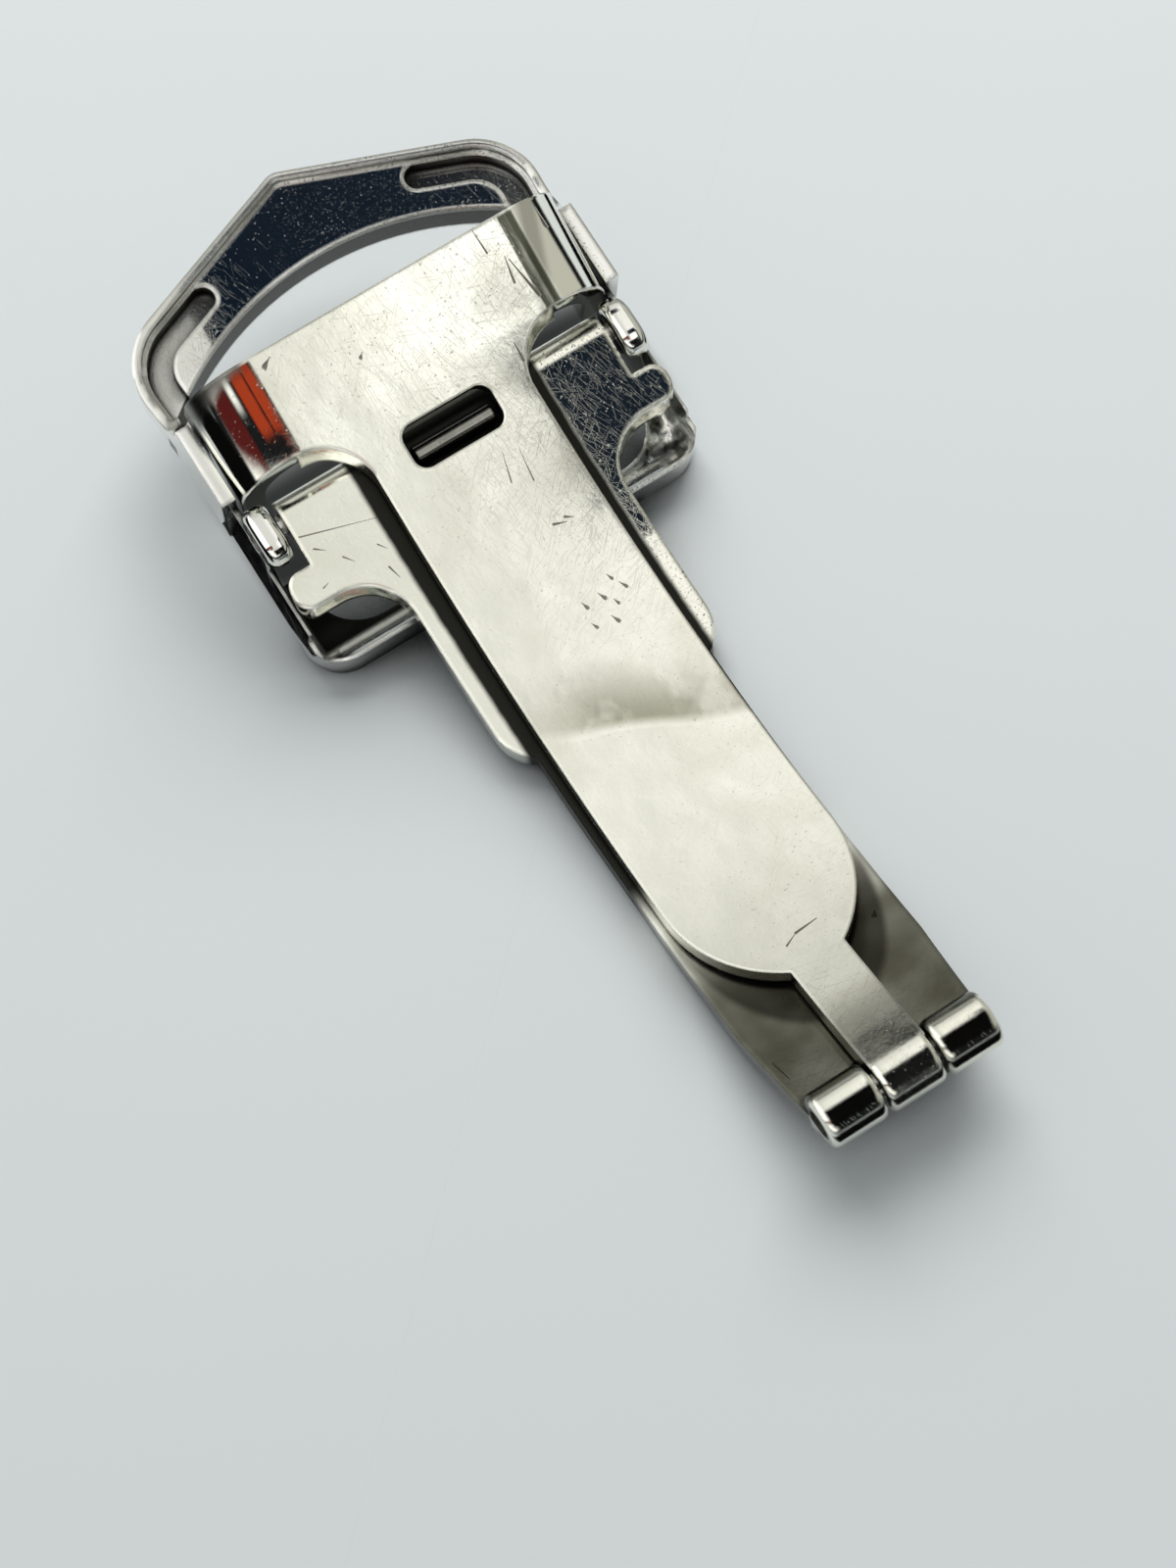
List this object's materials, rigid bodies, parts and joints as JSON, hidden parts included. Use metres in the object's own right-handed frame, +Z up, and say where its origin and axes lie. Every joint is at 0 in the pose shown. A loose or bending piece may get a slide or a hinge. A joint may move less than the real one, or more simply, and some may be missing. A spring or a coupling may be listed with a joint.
{
  "type": "deployant clasp",
  "caption": "Fold-over steel clasp for a leather watch strap: two curved blades on a pinned hinge, T-shaped head with a spring bar, and a pivoting open frame with a pointed arch.",
  "frame": {"origin": "on the table under the middle of the closed clasp, midway across and midway along", "axes": "+X across the clasp, +Y along it from the main hinge towards the pointed arch, +Z up from the table, towards the wrist side"},
  "size_m": [0.02, 0.0504, 0.0113],
  "materials": {
    "blade_steel": "polished once, now worn warm and satin with many fine scratches",
    "frame_steel": "polished, with light scratches",
    "pin_steel": "drawn wire, satin"
  },
  "bodies": {
    "outer": {"outer_blade": "blade_steel", "hinge_pin": "pin_steel", "frame_pin": "pin_steel", "catch": "blade_steel", "strap_post": "pin_steel"},
    "inner": {"inner_blade": "blade_steel", "spring_bar_tube": "pin_steel", "spring_bar_coil": "pin_steel"},
    "frame": {"cover_frame": "frame_steel"},
    "tip_left": {"spring_bar_tip_left": "pin_steel"},
    "tip_right": {"spring_bar_tip_right": "pin_steel"}
  },
  "joints": [
    {"name": "clasp_fold", "type": "hinge", "parent": "outer", "child": "inner", "pos_m": [0, -0.02423, 0.00366], "axis": [1, 0, 0], "range_deg": [0, 165]},
    {"name": "frame_flip", "type": "hinge", "parent": "outer", "child": "frame", "pos_m": [0, 0.01004, 0.00554], "axis": [1, 0, 0], "range_deg": [0, 80]},
    {"name": "left_tip_in", "type": "slide", "parent": "inner", "child": "tip_left", "axis": [1, 0, 0], "range_m": [0, 0.00105], "stiffness_N_per_m": 800, "springref_m": -0.002, "deforming": ["spring_bar_coil"]},
    {"name": "right_tip_in", "type": "slide", "parent": "inner", "child": "tip_right", "axis": [-1, 0, 0], "range_m": [0, 0.00105], "stiffness_N_per_m": 800, "springref_m": -0.002}
  ]
}
